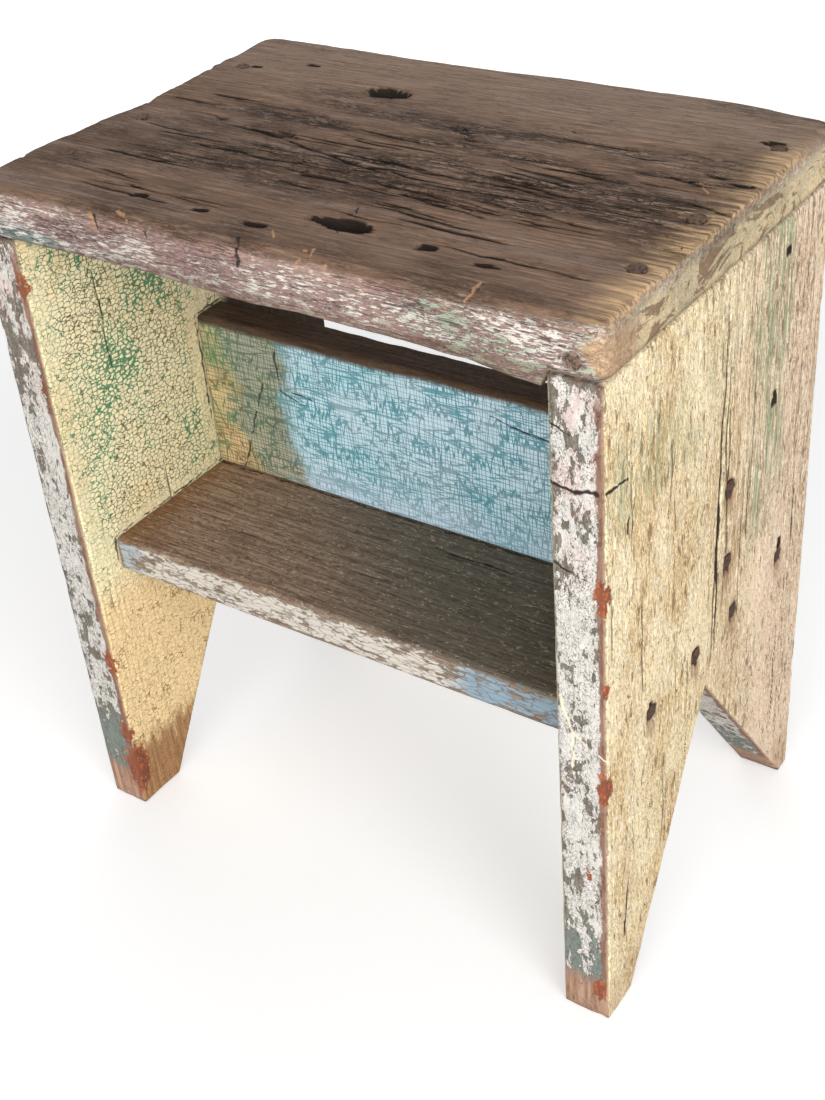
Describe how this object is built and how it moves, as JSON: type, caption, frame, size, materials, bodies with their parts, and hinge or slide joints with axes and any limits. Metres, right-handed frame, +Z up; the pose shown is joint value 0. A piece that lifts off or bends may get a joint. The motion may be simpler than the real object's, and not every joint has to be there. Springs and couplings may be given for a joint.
{
  "type": "step stool",
  "caption": "Low plank step stool: thick seat on V-notched end boards, with a full-length lower shelf and an upright stretcher board standing along its middle.",
  "frame": {"origin": "on the floor, under the middle of the stool's bounding box", "axes": "+Z up; +X along the seat towards the right end as seen from the front; +Y from the front towards the back"},
  "size_m": [0.33, 0.224, 0.379],
  "materials": {
    "seat_wood": "bare, grey-brown, deeply weathered, with remnants of old paint on its edges",
    "end_paint": "wood under crackled cream paint with green showing through",
    "shelf_wood": "bare, dark brown, worn, with chipped pale paint on its front edge",
    "stretcher_paint": "wood under crackled pale blue paint",
    "nail_iron": "dull, dark rust"
  },
  "bodies": {
    "root": {"seat_board": "seat_wood", "left_end_board": "end_paint", "right_end_board": "end_paint", "shelf_board": "shelf_wood", "stretcher_board": "stretcher_paint", "seat_nails_left": "nail_iron", "seat_nails_right": "nail_iron", "shelf_nails_left": "nail_iron", "shelf_nails_right": "nail_iron", "stretcher_nails_left": "nail_iron", "stretcher_nails_right": "nail_iron", "stretcher_foot_nails": "nail_iron", "front_corner_nail": "nail_iron"}
  },
  "joints": []
}
